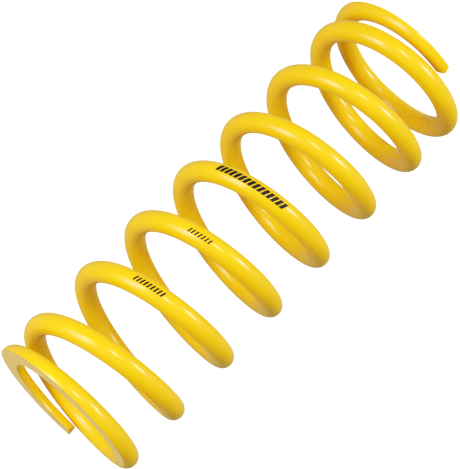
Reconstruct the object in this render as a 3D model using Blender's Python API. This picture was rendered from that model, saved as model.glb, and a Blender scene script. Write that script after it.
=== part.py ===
"""Coil spring of a motorcycle rear shock absorber, free length, standing on its lower ground end.

One round wire is wound right-handed round +Z. Both ends are closed, with the last turn running down
onto its neighbour, and both are ground square to the axis. The spring flexes by every stretch of wire
sliding along the axis by its own share of the travel, so the wire is built as a chain of stretches:
a rigid end coil at each end, and quarter turns between them that part at upright radial planes.

Places along the wire are counted in turns from its lower tip. The origin is on the axis, at the
middle of the lower ground face.
"""

import math

import bmesh
import bpy

# Driving dimensions, in metres, turns and degrees.
FREE_LENGTH = 0.250
MEAN_DIAMETER = 0.074
WIRE_DIAMETER = 0.0107
TOTAL_TURNS = 8.61
ACTIVE_TURNS = 6.5
LOWER_END_TURNS = 1.055

# How each end closes: the lead (rise per turn) at the tip, where along the wire it starts and stops
# growing to the full pitch, how much the tip turn draws in, and over how many turns it does so.
LOWER_END = {"tip_lead": 0.0064, "ramp_start": 0.0, "ramp_stop": 1.95, "draw_in": 0.005, "draw_turns": 1.1}
UPPER_END = {"tip_lead": 0.0069, "ramp_start": 0.51, "ramp_stop": 1.22, "draw_in": 0.031, "draw_turns": 1.2}
GROUND_PAST_TIP_CENTRE = 0.001  # how far past the tip's centreline each end is ground away

STRETCHES_PER_TURN = 4
PART_GAP = 0.0003
WIRE_SIDES = 20
STEPS_PER_TURN = 40
SHARP_ANGLE = 40.0

COAT_YELLOW = (0.93, 0.66, 0.01, 1.0)
COAT_ROUGHNESS = 0.28

WIRE_RADIUS = WIRE_DIAMETER / 2
MEAN_RADIUS = MEAN_DIAMETER / 2
UPPER_END_TURNS = TOTAL_TURNS - ACTIVE_TURNS - LOWER_END_TURNS


def smooth(x):
    """A smooth step from 0 to 1 as x goes from 0 to 1."""
    x = min(max(x, 0.0), 1.0)
    return x * x * (3 - 2 * x)


def smooth_area(x):
    """The area under that step up to x."""
    if x <= 0:
        return 0.0
    return x**3 - x**4 / 2 if x < 1 else x - 0.5


def rise(end, turns, pitch):
    """How far the centreline climbs over the first turns from a tip."""
    ramp = end["ramp_stop"] - end["ramp_start"]
    grown = ramp * smooth_area((turns - end["ramp_start"]) / ramp)
    return end["tip_lead"] * turns + (pitch - end["tip_lead"]) * grown


def full_pitch():
    """The pitch that gives the free length between the two ground faces."""
    between_tips = FREE_LENGTH + 2 * GROUND_PAST_TIP_CENTRE
    slow_turns = 0.0
    slow_rise = 0.0
    for end in (LOWER_END, UPPER_END):
        middle = (end["ramp_start"] + end["ramp_stop"]) / 2
        slow_turns += middle
        slow_rise += middle * end["tip_lead"]
    return (between_tips - slow_rise) / (TOTAL_TURNS - slow_turns)


PITCH = full_pitch()
LOWER_TIP_HEIGHT = -GROUND_PAST_TIP_CENTRE
UPPER_TIP_HEIGHT = FREE_LENGTH + GROUND_PAST_TIP_CENTRE


def height(turn):
    """The height of the wire's centreline."""
    if turn < TOTAL_TURNS / 2:
        return LOWER_TIP_HEIGHT + rise(LOWER_END, turn, PITCH)
    return UPPER_TIP_HEIGHT - rise(UPPER_END, TOTAL_TURNS - turn, PITCH)


def coil_radius(turn):
    """The radius of the wire's centreline, which draws in a little at each tip."""
    share = 1.0
    for end, from_tip in ((LOWER_END, turn), (UPPER_END, TOTAL_TURNS - turn)):
        share -= end["draw_in"] * (1 - smooth(from_tip / end["draw_turns"]))
    return MEAN_RADIUS * share


def bearing(turn):
    """The angle round the axis, with the first active stretch starting on +X."""
    return 2 * math.pi * (turn - LOWER_END_TURNS)


def lead_angle(turn):
    step = 1e-4
    climb = (height(turn + step) - height(turn - step)) / (2 * step)
    return math.atan2(climb, 2 * math.pi * coil_radius(turn))


def wire_section(mesh, turn, base):
    """One ring of vertices: the wire cut by the upright radial plane at this turn, above base."""
    angle = bearing(turn)
    tall = WIRE_RADIUS / math.cos(lead_angle(turn))
    ring = []
    for side in range(WIRE_SIDES):
        around = 2 * math.pi * side / WIRE_SIDES
        out = coil_radius(turn) + WIRE_RADIUS * math.cos(around)
        up = height(turn) - base + tall * math.sin(around)
        ring.append(mesh.verts.new((out * math.cos(angle), out * math.sin(angle), up)))
    return ring


def powder_coat():
    material = bpy.data.materials.new("powder_coat")
    material.use_nodes = True
    shader = material.node_tree.nodes["Principled BSDF"]
    shader.inputs["Base Color"].default_value = COAT_YELLOW
    shader.inputs["Roughness"].default_value = COAT_ROUGHNESS
    shader.inputs["Metallic"].default_value = 0.0
    return material


def wire_stretch(name, start, stop, material):
    """A solid length of wire from one turn to another, with its origin on the spring's axis."""
    base = height((start + stop) / 2)
    steps = max(2, round((stop - start) * STEPS_PER_TURN))
    mesh = bmesh.new()
    rings = [wire_section(mesh, start + (stop - start) * step / steps, base) for step in range(steps + 1)]
    for ring, after in zip(rings, rings[1:]):
        for side in range(WIRE_SIDES):
            beside = (side + 1) % WIRE_SIDES
            mesh.faces.new((ring[side], after[side], after[beside], ring[beside]))
    mesh.faces.new(rings[0])
    mesh.faces.new(reversed(rings[-1]))
    bmesh.ops.recalc_face_normals(mesh, faces=mesh.faces)
    data = bpy.data.meshes.new(name)
    mesh.to_mesh(data)
    mesh.free()
    data.materials.append(material)
    data.shade_smooth()
    data.set_sharp_from_angle(angle=math.radians(SHARP_ANGLE))
    stretch = bpy.data.objects.new(name, data)
    stretch.location.z = base
    bpy.context.scene.collection.objects.link(stretch)
    return stretch


def grind(stretch, face_height, side):
    """Cuts an end coil flat at face_height, removing what lies beyond it on that side."""
    depth = 2 * WIRE_DIAMETER
    mesh = bmesh.new()
    bmesh.ops.create_cube(mesh, size=1.0)
    bmesh.ops.scale(mesh, vec=(1.5 * MEAN_DIAMETER, 1.5 * MEAN_DIAMETER, depth), verts=mesh.verts)
    data = bpy.data.meshes.new(stretch.name + "_grinding")
    mesh.to_mesh(data)
    mesh.free()
    cutter = bpy.data.objects.new(data.name, data)
    cutter.location.z = face_height + side * depth / 2
    cutter.hide_render = True
    cutter.display_type = "WIRE"
    bpy.context.scene.collection.objects.link(cutter)
    cut = stretch.modifiers.new("ground face", "BOOLEAN")
    cut.operation = "DIFFERENCE"
    cut.solver = "EXACT"
    cut.object = cutter


def build_end_coils(material, half_gap):
    lower = wire_stretch("lower_end_coil", 0.0, LOWER_END_TURNS - half_gap, material)
    grind(lower, 0.0, -1)
    upper_start = LOWER_END_TURNS + ACTIVE_TURNS
    upper = wire_stretch("upper_end_coil", upper_start + half_gap, TOTAL_TURNS, material)
    grind(upper, FREE_LENGTH, 1)


def build_active_coils(material, half_gap):
    """The quarter turns, numbered upwards as coil and quarter."""
    for index in range(round(ACTIVE_TURNS * STRETCHES_PER_TURN)):
        coil, quarter = divmod(index, STRETCHES_PER_TURN)
        start = LOWER_END_TURNS + index / STRETCHES_PER_TURN
        stop = start + 1 / STRETCHES_PER_TURN
        name = f"coil_{coil + 1}_quarter_{quarter + 1}"
        wire_stretch(name, start + half_gap, stop - half_gap, material)


def main():
    for old in list(bpy.data.objects):
        bpy.data.objects.remove(old, do_unlink=True)
    material = powder_coat()
    half_gap = PART_GAP / 2 / (math.pi * MEAN_DIAMETER)
    build_end_coils(material, half_gap)
    build_active_coils(material, half_gap)


main()
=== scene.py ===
"""The looks of a motorcycle rear shock spring: one continuous powder-coated wire with bare ground ends.

The wire follows the same helix as the CAD stretches, which it replaces. Places along it are counted in
turns from the lower tip, and places round it in degrees from straight up, turning outwards.
"""

import math

import bpy
import numpy as np
from mathutils import Matrix, Quaternion, Vector


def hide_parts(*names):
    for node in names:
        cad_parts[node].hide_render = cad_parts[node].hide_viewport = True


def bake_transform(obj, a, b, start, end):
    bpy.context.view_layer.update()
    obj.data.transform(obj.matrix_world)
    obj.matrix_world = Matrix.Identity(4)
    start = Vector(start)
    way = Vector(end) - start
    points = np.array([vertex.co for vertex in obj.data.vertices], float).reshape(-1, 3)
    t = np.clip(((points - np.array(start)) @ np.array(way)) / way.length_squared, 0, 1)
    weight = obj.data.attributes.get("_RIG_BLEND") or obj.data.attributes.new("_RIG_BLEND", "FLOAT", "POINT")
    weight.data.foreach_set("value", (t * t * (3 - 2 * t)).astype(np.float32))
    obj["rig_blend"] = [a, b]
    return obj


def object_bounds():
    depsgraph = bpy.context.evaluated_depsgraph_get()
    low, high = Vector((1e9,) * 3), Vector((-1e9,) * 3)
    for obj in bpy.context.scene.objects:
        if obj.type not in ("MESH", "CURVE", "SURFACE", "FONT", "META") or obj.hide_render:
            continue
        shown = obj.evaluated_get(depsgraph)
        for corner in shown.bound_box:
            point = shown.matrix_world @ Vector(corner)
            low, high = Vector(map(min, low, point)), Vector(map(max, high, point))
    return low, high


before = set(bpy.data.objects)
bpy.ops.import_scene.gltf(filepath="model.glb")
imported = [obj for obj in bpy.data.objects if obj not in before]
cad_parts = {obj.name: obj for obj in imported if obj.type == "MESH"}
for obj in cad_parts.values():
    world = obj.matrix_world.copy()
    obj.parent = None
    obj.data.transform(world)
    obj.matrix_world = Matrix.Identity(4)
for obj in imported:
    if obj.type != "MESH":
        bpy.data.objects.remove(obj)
CAD_LOW, CAD_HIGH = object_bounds()

# The helix, as in the CAD: metres and turns.
WIRE_DIAMETER = 0.0107
WIRE_RADIUS = WIRE_DIAMETER / 2
MEAN_RADIUS = (CAD_HIGH.x - CAD_LOW.x - WIRE_DIAMETER) / 2
FREE_LENGTH = CAD_HIGH.z - CAD_LOW.z
TOTAL_TURNS = 8.61
ACTIVE_TURNS = 6.5
LOWER_END_TURNS = 1.055
LOWER_END = {"tip_lead": 0.0064, "ramp_start": 0.0, "ramp_stop": 1.95, "draw_in": 0.005, "draw_turns": 1.1}
UPPER_END = {"tip_lead": 0.0069, "ramp_start": 0.51, "ramp_stop": 1.22, "draw_in": 0.031, "draw_turns": 1.2}
GROUND_PAST_TIP_CENTRE = 0.001
FLEX_EASE = 0.5  # turns over which the wire starts and stops taking its share of the travel

# The wire's surface.
RINGS_PER_TURN = 112
FLAT_COLUMNS = (-1.0, -0.985, -0.8, -0.6, -0.4, -0.2, 0.0, 0.2, 0.4, 0.6, 0.8, 0.985, 1.0)
ROUNDING_STEPS = 4
DARK_EDGE_STEPS = 2  # how many of the rounding's steps, next to the flat, are darkened
BODY_COLUMNS = 40
BODY_MARGIN = math.radians(1.5)  # between the rounding and the first column of the body
GROUND_EDGE_ROUND = 0.00035
TIP_ROUND = 0.0005
TIP_STEPS = 5
WIRE_SHARP_ANGLE = math.radians(35)

# Each tip is pinched off, which leaves a blunt ridge across it: the way the ridge runs from the wire's
# middle, in degrees from straight out towards straight up, how steeply the two sides fall back from it,
# the first towards smaller degrees, and how far the ridge reaches past the plain cut. The last stretch of
# wire takes it up.
LOWER_TIP = {"ridge": 50, "slopes": (31, 20), "reach": 0.0013}
UPPER_TIP = {"ridge": -95, "slopes": (5, 8), "reach": 0.0010}
TIP_STRETCH = 0.09
NARROWEST_BAND = math.radians(20)


def smooth(x):
    x = np.clip(x, 0.0, 1.0)
    return x * x * (3 - 2 * x)


def smooth_area(x):
    inside = np.clip(x, 0.0, 1.0)
    return inside**3 - inside**4 / 2 + np.maximum(x - 1, 0.0)


def rise(end, turns, pitch):
    ramp = end["ramp_stop"] - end["ramp_start"]
    grown = ramp * smooth_area((turns - end["ramp_start"]) / ramp)
    return end["tip_lead"] * turns + (pitch - end["tip_lead"]) * grown


def full_pitch():
    middles = [(end["ramp_start"] + end["ramp_stop"]) / 2 for end in (LOWER_END, UPPER_END)]
    slow_rise = middles[0] * LOWER_END["tip_lead"] + middles[1] * UPPER_END["tip_lead"]
    return (FREE_LENGTH + 2 * GROUND_PAST_TIP_CENTRE - slow_rise) / (TOTAL_TURNS - sum(middles))


PITCH = full_pitch()


def height(turn):
    from_below = CAD_LOW.z - GROUND_PAST_TIP_CENTRE + rise(LOWER_END, turn, PITCH)
    from_above = CAD_HIGH.z + GROUND_PAST_TIP_CENTRE - rise(UPPER_END, TOTAL_TURNS - turn, PITCH)
    return np.where(turn < TOTAL_TURNS / 2, from_below, from_above)


def coil_radius(turn):
    share = 1.0
    for end, from_tip in ((LOWER_END, turn), (UPPER_END, TOTAL_TURNS - turn)):
        share = share - end["draw_in"] * (1 - smooth(from_tip / end["draw_turns"]))
    return MEAN_RADIUS * share


def bearing(turn):
    return 2 * math.pi * (turn - LOWER_END_TURNS)


def lean(turn):
    """How much taller than round the wire's upright radial section is, because the wire climbs."""
    step = 1e-4
    climb = (height(turn + step) - height(turn - step)) / (2 * step)
    return np.hypot(1.0, climb / (2 * math.pi * coil_radius(turn)))


def travel_share(turn):
    """The share of the spring's travel that the wire makes at this turn, 0 below and 1 above."""
    along = np.clip(turn - LOWER_END_TURNS, 0.0, ACTIVE_TURNS)
    start = np.minimum(along, FLEX_EASE)
    stop = np.maximum(along - (ACTIVE_TURNS - FLEX_EASE), 0.0)
    middle = np.clip(along - FLEX_EASE, 0.0, ACTIVE_TURNS - 2 * FLEX_EASE)
    area = start**2 / (2 * FLEX_EASE) + middle + stop - stop**2 / (2 * FLEX_EASE)
    return area / (ACTIVE_TURNS - FLEX_EASE)


def place(turn, out, up, ahead=0.0):
    """World points from distances outwards, upwards and ahead along the wire from its centreline."""
    angle = bearing(turn) + ahead / MEAN_RADIUS
    radius = coil_radius(turn) + out
    return np.stack([radius * np.cos(angle), radius * np.sin(angle), height(turn) + up], axis=-1)


def section(radius, cut):
    """One ring of the wire round its centre, its flat band first: across, towards the cut, and how far the
    edge is darkened.

    cut is the distance from the centre to the grinding plane. The band is flat where the plane cuts the
    wire, rounded at both edges, and where the plane misses the wire all points lie on the circle.
    """
    rounding = GROUND_EDGE_ROUND
    inner = radius - rounding
    full_cut = rounding + inner * math.cos(NARROWEST_BAND)
    corner = math.acos(max(-1.0, (min(cut, full_cut) - rounding) / inner))
    turns = corner * np.linspace(0, 1, ROUNDING_STEPS + 1)[1:]
    flat = inner * math.sin(corner) * np.array(FLAT_COLUMNS)
    edge_x = inner * math.sin(corner) + rounding * np.sin(turns)
    across = np.concatenate([-edge_x[::-1], flat, edge_x])
    body_start = corner + BODY_MARGIN
    body = np.linspace(body_start, 2 * math.pi - body_start, BODY_COLUMNS)
    if cut <= full_cut:
        edge_y = cut - rounding + rounding * np.cos(turns)
        towards = np.concatenate([edge_y[::-1], np.full(len(flat), cut), edge_y])
        # The rounding steps next to the flat are marked to be painted a darker olive.
        edge = (np.arange(ROUNDING_STEPS) < DARK_EDGE_STEPS).astype(float)
        darkened = np.concatenate([edge[::-1], np.zeros(len(flat)), edge])
        on_flat = np.concatenate([np.zeros(ROUNDING_STEPS), np.ones(len(flat)), np.zeros(ROUNDING_STEPS)])
    else:
        towards = np.sqrt(np.maximum(radius**2 - across**2, 0.0))
        on_flat = (towards > cut).astype(float)
        towards = np.minimum(towards, cut)
        darkened = on_flat * 0.0
    across = np.concatenate([across, radius * np.sin(body)])
    towards = np.concatenate([towards, radius * np.cos(body)])
    rest = np.zeros(BODY_COLUMNS)
    return across, towards, np.concatenate([darkened, rest]), np.concatenate([on_flat, rest])


def tip_shift(turn, out, up):
    """How far ahead along the wire points near a tip lie, because of how that tip is cut."""
    lower = turn < TOTAL_TURNS / 2
    tip, from_tip, onward = (LOWER_TIP, turn, -1) if lower else (UPPER_TIP, TOTAL_TURNS - turn, 1)
    ridge = math.radians(tip["ridge"])
    beside = out * math.sin(ridge) - up * math.cos(ridge)
    first, second = (math.tan(math.radians(slope)) for slope in tip["slopes"])
    fallen = np.maximum(first * beside, -second * beside)
    return onward * (tip["reach"] - fallen) * (1 - smooth(from_tip / TIP_STRETCH))


def ring_places():
    """(turn, how much smaller the wire is there) for each ring: rounded at both tips."""
    places = []
    per_metre = 1 / (2 * math.pi * MEAN_RADIUS)
    for step in range(TIP_STEPS + 1):
        tilt = math.radians(90) * step / TIP_STEPS
        places.append((TIP_ROUND * (1 - math.cos(tilt)) * per_metre, TIP_ROUND * (1 - math.sin(tilt))))
    first, last = places[-1][0], TOTAL_TURNS - TIP_ROUND * per_metre
    count = round((last - first) * RINGS_PER_TURN)
    places += [(first + (last - first) * i / count, 0.0) for i in range(1, count)]
    for step in range(TIP_STEPS, -1, -1):
        tilt = math.radians(90) * step / TIP_STEPS
        back = TIP_ROUND * (1 - math.cos(tilt)) * per_metre
        places.append((TOTAL_TURNS - back, TIP_ROUND * (1 - math.sin(tilt))))
    return places


def make_mesh(name, points, faces):
    mesh = bpy.data.meshes.new(name)
    mesh.from_pydata(points.tolist(), [], faces)
    mesh.update()
    piece = bpy.data.objects.new(name, mesh)
    bpy.context.scene.collection.objects.link(piece)
    return piece


def store(mesh, name, values):
    kind, field = ("FLOAT", "value") if np.ndim(values) == 1 else ("FLOAT_VECTOR", "vector")
    attribute = mesh.attributes.get(name) or mesh.attributes.new(name, kind, "POINT")
    attribute.data.foreach_set(field, np.asarray(values, np.float32).ravel())


def flex(piece, turns):
    """Lets a piece move with the wire: each point takes the travel of its own place along the wire.
    """
    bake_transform(piece, "lower_end", "upper_end", start=(0, 0, CAD_LOW.z), end=(0, 0, CAD_HIGH.z))
    store(piece.data, "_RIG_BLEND", travel_share(turns))


def build_wire(coat, steel):
    """The whole wire as one closed skin, with the two ground faces in bare steel."""
    points, turns, darkened, on_flat = [], [], [], []
    for turn, smaller in ring_places():
        lower = turn < TOTAL_TURNS / 2
        tall = float(lean(turn))
        clearance = height(turn) - CAD_LOW.z if lower else CAD_HIGH.z - height(turn)
        across, towards, darkening, flat = section(WIRE_RADIUS - smaller, float(clearance) / tall)
        along = float(np.clip((turn - LOWER_END_TURNS) / ACTIVE_TURNS, 0, 1))
        facing = math.pi * (1 - along)  # the flat band faces down at the lower end and up at the upper
        out = across * math.cos(facing) + towards * math.sin(facing)
        up = (towards * math.cos(facing) - across * math.sin(facing)) * tall
        points.append(place(turn, out, up, tip_shift(turn, out, up)))
        turns.append(np.full(len(out), turn))
        darkened.append(darkening * (1 - smaller / TIP_ROUND))
        on_flat.append(flat)
    columns = len(points[0])
    rings = len(points)
    points, turns = np.concatenate(points), np.concatenate(turns)
    darkened, on_flat = np.concatenate(darkened), np.concatenate(on_flat)
    faces = []
    for ring in range(rings - 1):
        for column in range(columns):
            beside = (column + 1) % columns
            a, b = ring * columns + column, ring * columns + beside
            faces.append((a, b, b + columns, a + columns))
    # Each tip is closed by a fan of faces from a point on its ridge.
    for tip, turn, ring in ((LOWER_TIP, 0.0, 0), (UPPER_TIP, TOTAL_TURNS, rings - 1)):
        ridge = math.radians(tip["ridge"])
        out, up = WIRE_RADIUS / 2 * math.cos(ridge), WIRE_RADIUS / 2 * math.sin(ridge)
        points = np.vstack([points, place(turn, out, up, tip_shift(turn, out, up))])
        turns, darkened, on_flat = np.append(turns, turn), np.append(darkened, 0.0), np.append(on_flat, 0.0)
        for column in range(columns):
            a, b = ring * columns + column, ring * columns + (column + 1) % columns
            faces.append((len(points) - 1, b, a) if ring == 0 else (len(points) - 1, a, b))
    wire = make_mesh("spring_wire", points, faces)
    mesh = wire.data
    mesh.materials.append(coat)
    mesh.materials.append(steel)
    bare = [1 if len(face) == 4 and on_flat[list(face)].min() > 0.5 else 0 for face in faces]
    mesh.polygons.foreach_set("material_index", bare)
    store(mesh, "rest_place", points)
    store(mesh, "edge_darkening", darkened)
    mesh.shade_smooth()
    mesh.set_sharp_from_angle(angle=WIRE_SHARP_ANGLE)
    return wire, turns


# The ink bars: how far they stand proud of the wire and reach into it, and what each row looks like. A row
# runs from one turn to another, half_height degrees to either side of its middle round the wire. fill is
# the share of its width that is ink, and slant the turns by which a bar leans from its middle to its end.
INK_HEIGHT = 0.00004
INK_DEPTH = 0.00025
INK_COLUMNS, INK_ROWS = 4, 9
INK_SHARP_ANGLE = math.radians(40)
WIDE_BARS = {
    "name": "ink_bars_wide",
    "start": 4.19,
    "stop": 4.04,
    "middle": 94,
    "half_height": 20,
    "bars": 15,
    "fill": 0.76,
    "slant": -0.003,
}
SMALL_BARS_1 = {
    "name": "ink_bars_small_1",
    "start": 5.14,
    "stop": 5.09,
    "middle": 84,
    "half_height": 14,
    "bars": 7,
    "fill": 0.48,
    "slant": -0.0015,
}
SMALL_BARS_2 = {
    "name": "ink_bars_small_2",
    "start": 6.15,
    "stop": 6.085,
    "middle": 97,
    "half_height": 16,
    "bars": 9,
    "fill": 0.56,
    "slant": -0.0015,
}


def build_ink_bars(ink, name, start, stop, middle, half_height, bars, fill, slant):
    """A row of equal slanted ink bars on the wire, each a thin closed plate bent round it."""
    points, turns, faces = [], [], []
    columns, rows = INK_COLUMNS, INK_ROWS
    pitch = (stop - start) / bars
    for bar in range(bars):
        for lift in (INK_HEIGHT, -INK_DEPTH):
            for row in range(rows):
                share = 2 * row / (rows - 1) - 1
                around = math.radians(middle + share * half_height)
                for column in range(columns):
                    turn = start + pitch * (bar + fill * column / (columns - 1)) + slant * share
                    reach = WIRE_RADIUS + lift
                    up = reach * math.cos(around) * lean(turn)
                    points.append(place(turn, reach * math.sin(around), up))
                    turns.append(turn)
        base = bar * 2 * rows * columns
        below = base + rows * columns
        for row in range(rows - 1):
            for column in range(columns - 1):
                a = row * columns + column
                quad = (a, a + 1, a + 1 + columns, a + columns)
                faces.append(tuple(base + i for i in quad))
                faces.append(tuple(below + i for i in reversed(quad)))
        rim = list(range(columns))
        rim += [row * columns + columns - 1 for row in range(1, rows)]
        rim += [(rows - 1) * columns + column for column in range(columns - 2, -1, -1)]
        rim += [row * columns for row in range(rows - 2, 0, -1)]
        for here, there in zip(rim, rim[1:] + rim[:1]):
            faces.append((base + there, base + here, below + here, below + there))
    marks = make_mesh(name, np.array(points), faces)
    marks.data.materials.append(ink)
    marks.data.shade_smooth()
    marks.data.set_sharp_from_angle(angle=INK_SHARP_ANGLE)
    return marks, np.array(turns)


class Nodes:
    """A short way to write a material's nodes."""

    def __init__(self, name):
        self.material = bpy.data.materials.new(name)
        self.material.use_nodes = True
        self.tree = self.material.node_tree
        self.shader = self.tree.nodes["Principled BSDF"]

    def add(self, kind, **inputs):
        node = self.tree.nodes.new(kind)
        for key, value in inputs.items():
            self.set(node, key.replace("_", " "), value)
        return node

    def set(self, node, key, value):
        socket = node.inputs[key]
        if isinstance(value, bpy.types.NodeSocket):
            self.tree.links.new(value, socket)
        else:
            socket.default_value = value

    def rest(self):
        node = self.tree.nodes.new("ShaderNodeAttribute")
        node.attribute_name = "rest_place"
        return node.outputs["Vector"]

    def value(self, name):
        node = self.tree.nodes.new("ShaderNodeAttribute")
        node.attribute_name = name
        return node.outputs["Fac"]

    def noise(self, vector, scale, detail=2.0, roughness=0.5):
        node = self.add("ShaderNodeTexNoise", Vector=vector, Scale=scale)
        self.set(node, "Detail", detail)
        self.set(node, "Roughness", roughness)
        return node.outputs["Fac"]

    def ramp(self, factor, low, high, first=0.0, last=1.0):
        node = self.tree.nodes.new("ShaderNodeMapRange")
        self.set(node, "Value", factor)
        for key, number in (("From Min", low), ("From Max", high), ("To Min", first), ("To Max", last)):
            node.inputs[key].default_value = number
        return node.outputs["Result"]

    def combine(self, operation, first, second):
        node = self.tree.nodes.new("ShaderNodeMath")
        node.operation = operation
        for index, value in enumerate((first, second)):
            if isinstance(value, bpy.types.NodeSocket):
                self.tree.links.new(value, node.inputs[index])
            else:
                node.inputs[index].default_value = value
        return node.outputs[0]

    def mix(self, factor, first, second):
        node = self.tree.nodes.new("ShaderNodeMix")
        node.data_type = "RGBA"
        sockets = (node.inputs[0], node.inputs[6], node.inputs[7])
        for socket, value in zip(sockets, (factor, first, second)):
            if isinstance(value, bpy.types.NodeSocket):
                self.tree.links.new(value, socket)
            else:
                socket.default_value = value
        return node.outputs[2]

    def bump(self, height_socket, distance, strength=1.0, normal=None):
        node = self.add("ShaderNodeBump", Height=height_socket, Distance=distance, Strength=strength)
        if normal is not None:
            self.set(node, "Normal", normal)
        return node.outputs["Normal"]


# Colours, as linear red, green, blue and alpha.
YELLOW = (0.75, 0.414, 0.001, 1.0)
YELLOW_DEEP = (0.725, 0.395, 0.001, 1.0)
COAT_EDGE = (0.28, 0.26, 0.05, 1.0)
STEEL_TAN = (0.79, 0.525, 0.22, 1.0)
STEEL_DULL = (0.73, 0.48, 0.195, 1.0)
INK_BLACK = (0.003, 0.003, 0.004, 1.0)
INK_THIN = (0.02, 0.015, 0.004, 1.0)


def powder_coat_material():
    """Glossy yellow powder coat with a fine orange peel, painted a ragged darker olive along the ground
    edges.
    """
    made = Nodes("powder_coat_yellow")
    rest = made.rest()
    cloud = made.noise(rest, 55.0, 3.0)
    grain = made.noise(rest, 900.0, 2.0)
    colour = made.mix(made.ramp(cloud, 0.35, 0.65), YELLOW_DEEP, YELLOW)
    ragged = made.ramp(grain, 0.25, 0.6, 0.55, 1.0)
    # A ragged darker olive line is painted on the rounding next to each ground face.
    darkened = made.combine("MULTIPLY", made.value("edge_darkening"), ragged)
    made.set(made.shader, "Base Color", made.mix(darkened, colour, COAT_EDGE))
    smear = made.noise(rest, 160.0, 3.0)
    made.set(made.shader, "Roughness", made.ramp(smear, 0.3, 0.7, 0.20, 0.24))
    made.set(made.shader, "Specular IOR Level", 0.3)
    peel = made.noise(rest, 420.0, 1.5)
    swell = made.noise(rest, 130.0, 1.0)
    surface = made.bump(peel, 0.0000008, 1.0)
    made.set(made.shader, "Normal", made.bump(swell, 0.000002, 1.0, surface))
    return made.material


def ground_steel_material():
    """Bare steel ground square across the wire, with fine grinding lines and a warm dull tone."""
    made = Nodes("ground_steel")
    rest = made.rest()
    stretched = made.add("ShaderNodeMapping", Vector=rest)
    stretched.inputs["Scale"].default_value = (0.06, 1.0, 1.0)
    lines = made.noise(stretched.outputs["Vector"], 2600.0, 3.0, 0.7)
    cloud = made.noise(rest, 120.0, 3.0)
    colour = made.mix(made.ramp(cloud, 0.3, 0.7), STEEL_DULL, STEEL_TAN)
    scored = made.ramp(lines, 0.55, 0.8, 0.0, 0.35)
    made.set(made.shader, "Base Color", made.mix(scored, colour, STEEL_DULL))
    made.set(made.shader, "Metallic", 0.25)
    made.set(made.shader, "Roughness", made.ramp(lines, 0.3, 0.7, 0.5, 0.66))
    made.set(made.shader, "Normal", made.bump(lines, 0.00002, 0.6))
    return made.material


def ink_material():
    """Flat black marking ink, a little thin in places."""
    made = Nodes("marking_ink")
    coordinates = made.tree.nodes.new("ShaderNodeTexCoord").outputs["Object"]
    patchy = made.noise(coordinates, 1500.0, 3.0)
    made.set(made.shader, "Base Color", made.mix(made.ramp(patchy, 0.45, 0.8), INK_BLACK, INK_THIN))
    made.set(made.shader, "Roughness", made.ramp(patchy, 0.3, 0.7, 0.45, 0.6))
    made.set(made.shader, "Specular IOR Level", 0.15)
    return made.material


# The view: a bearing from +X, a height over the horizon, a roll, and what it looks at.
VIEW_BEARING = 5.97
VIEW_ELEVATION = 16.85
VIEW_ROLL = -135.76
VIEW_DISTANCE = 0.9235
VIEW_TARGET = Vector((-0.0015, 0.0020, 0.1292))
VIEW_LENS = 143.5


def direction(bearing_degrees, elevation_degrees):
    across, up = math.radians(bearing_degrees), math.radians(elevation_degrees)
    return Vector((math.cos(up) * math.cos(across), math.cos(up) * math.sin(across), math.sin(up)))


def build_camera():
    data = bpy.data.cameras.new("camera")
    data.lens = VIEW_LENS
    data.clip_start, data.clip_end = 0.05, 50.0
    camera = bpy.data.objects.new("camera", data)
    bpy.context.scene.collection.objects.link(camera)
    back = direction(VIEW_BEARING, VIEW_ELEVATION)
    camera.location = VIEW_TARGET + back * VIEW_DISTANCE
    camera.rotation_mode = "QUATERNION"
    roll = Quaternion((0, 0, 1), math.radians(VIEW_ROLL))
    camera.rotation_quaternion = (-back).to_track_quat("-Z", "Y") @ roll
    bpy.context.scene.camera = camera


def beside_camera(across_degrees, up_degrees):
    """The direction from the spring to a place so many degrees right of the camera and above it."""
    turned = bpy.context.scene.camera.rotation_quaternion.to_matrix()
    across, up = math.radians(across_degrees), math.radians(up_degrees)
    return turned @ Vector((math.sin(across) * math.cos(up), math.sin(up), math.cos(across) * math.cos(up)))


def build_softbox(name, across, up, distance, width, tall, radiance):
    """A white panel beside the camera that faces the spring, upright as the camera sees it."""
    data = bpy.data.lights.new(name, "AREA")
    data.shape = "RECTANGLE"
    data.size, data.size_y = width, tall
    data.energy = radiance * math.pi * width * tall
    light = bpy.data.objects.new(name, data)
    bpy.context.scene.collection.objects.link(light)
    back = beside_camera(across, up)
    side = beside_camera(0, 90).cross(back).normalized()
    light.location = Vector((0, 0, FREE_LENGTH / 2)) + back * distance
    light.rotation_mode = "QUATERNION"
    light.rotation_quaternion = Matrix((side, back.cross(side), back)).transposed().to_quaternion()
    light.visible_camera = False


# The camera's tone curve: straight up to the knee, then bending over towards a ceiling just above white,
# as a camera's does. WHITE is how bright a surface must be to come out plain white.
TONE_KNEE = 0.35
TONE_CEILING = 1.2
TONE_BEND = TONE_CEILING - TONE_KNEE
WHITE = TONE_KNEE + TONE_BEND * math.log(TONE_BEND / (TONE_CEILING - 1.0))
TONE_STEPS = 12


def tone(light):
    if light < TONE_KNEE:
        return light
    return TONE_CEILING - TONE_BEND * math.exp((TONE_KNEE - light) / TONE_BEND)


def set_tone_curve():
    settings = bpy.context.scene.view_settings
    settings.view_transform = "Standard"
    settings.use_curve_mapping = True
    mapping = settings.curve_mapping
    mapping.white_level = (WHITE, WHITE, WHITE)
    points = mapping.curves[3].points
    for step in range(1, TONE_STEPS):
        points.new(step / TONE_STEPS, tone(WHITE * step / TONE_STEPS))
    for point in points:
        point.handle_type = "VECTOR"
    mapping.update()


# Each light: name, degrees right of the camera and above it, distance, width, height, radiance.
SOFTBOXES = (
    ("left_softbox", -51, 2, 0.80, 0.35, 0.44, 8.0),
    ("left_softbox_core", -37, 12, 0.79, 0.21, 0.17, 20.0),
    ("right_softbox", 58, 14, 1.30, 0.36, 0.38, 27.0),
    ("small_lamp", 12, 19, 2.00, 0.27, 0.44, 43.0),
)

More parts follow.
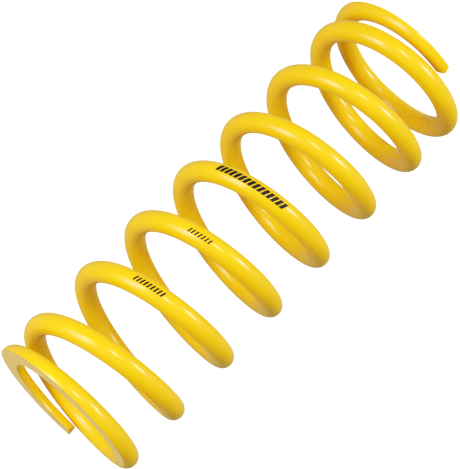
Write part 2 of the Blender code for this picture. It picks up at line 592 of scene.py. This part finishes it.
# The studio round the spring: an even pale glow with five brighter patches, two round the softboxes and
# three behind the spring, each given as degrees right of the camera and above it, how bright, and how blue.
GLOW_COLOUR = (1.0, 1.0, 0.36, 1.0)
GLOW = 0.17
PATCHES = (
    (-45, 0, 1.1, 0.8),
    (64, 6, 1.05, 0.8),
    (135, 35, 0.75, 0.65),
    (-150, -50, 0.48, 0.4),
    (-130, 25, 0.16, 2.2),
)
PATCH_TIGHTNESS = 4.0


def build_world():
    """Plain white to the eye, and the studio's glow to the spring."""
    world = bpy.data.worlds.new("studio")
    bpy.context.scene.world = world
    world.use_nodes = True
    world.cycles.sampling_method = "NONE"  # it is too even to be worth aiming at
    nodes, links = world.node_tree.nodes, world.node_tree.links
    nodes.clear()

    def background(colour, strength):
        node = nodes.new("ShaderNodeBackground")
        node.inputs["Color"].default_value = colour
        if isinstance(strength, bpy.types.NodeSocket):
            links.new(strength, node.inputs["Strength"])
        else:
            node.inputs["Strength"].default_value = strength
        return node.outputs[0]

    def math_node(operation, first, second=0.0):
        node = nodes.new("ShaderNodeMath")
        node.operation = operation
        links.new(first, node.inputs[0])
        node.inputs[1].default_value = second
        return node.outputs[0]

    def both(kind, first, second):
        node = nodes.new(kind)
        links.new(first, node.inputs[-2])
        links.new(second, node.inputs[-1])
        return node

    where = nodes.new("ShaderNodeTexCoord").outputs["Generated"]
    lit = background(GLOW_COLOUR, GLOW)
    for across, up, strength, blue in PATCHES:
        along = nodes.new("ShaderNodeVectorMath")
        along.operation = "DOT_PRODUCT"
        along.inputs[1].default_value = beside_camera(across, up)
        links.new(where, along.inputs[0])
        falloff = math_node("MULTIPLY", math_node("SUBTRACT", along.outputs["Value"], 1.0), PATCH_TIGHTNESS)
        patch = math_node("MULTIPLY", math_node("EXPONENT", falloff), strength)
        lit = both("ShaderNodeAddShader", lit, background((1.0, 1.0, blue, 1.0), patch)).outputs[0]
    mix = both("ShaderNodeMixShader", lit, background((1, 1, 1, 1), WHITE))
    links.new(nodes.new("ShaderNodeLightPath").outputs["Is Camera Ray"], mix.inputs[0])
    links.new(mix.outputs[0], nodes.new("ShaderNodeOutputWorld").inputs["Surface"])


FLOOR_SIZE = 12.0
FLOOR_GAP = 0.0002  # below the spring
FLOOR_SHARE_OF_WHITE = 0.95


def build_floor():
    """A plain pale table that looks as white as the background and changes nothing in the spring's light."""
    bpy.ops.mesh.primitive_plane_add(size=FLOOR_SIZE, location=(0, 0, CAD_LOW.z - FLOOR_GAP))
    floor = bpy.context.object
    floor.name = "floor"
    made = Nodes("floor")
    made.set(made.shader, "Base Color", (0.5, 0.5, 0.5, 1.0))
    made.set(made.shader, "Roughness", 0.9)
    made.set(made.shader, "Emission Color", (1.0, 1.0, 1.0, 1.0))
    made.set(made.shader, "Emission Strength", FLOOR_SHARE_OF_WHITE * WHITE)
    made.material.cycles.emission_sampling = "NONE"  # its light reaches the eye alone
    floor.data.materials.append(made.material)
    for kind in ("diffuse", "glossy", "transmission", "shadow"):
        setattr(floor, "visible_" + kind, False)


set_tone_curve()
build_camera()
build_world()
build_floor()
for softbox in SOFTBOXES:
    build_softbox(*softbox)

ink = ink_material()
wire, wire_turns = build_wire(powder_coat_material(), ground_steel_material())
flex(wire, wire_turns)
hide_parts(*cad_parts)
for row in (WIDE_BARS, SMALL_BARS_1, SMALL_BARS_2):
    marks, mark_turns = build_ink_bars(ink, **row)
    flex(marks, mark_turns)
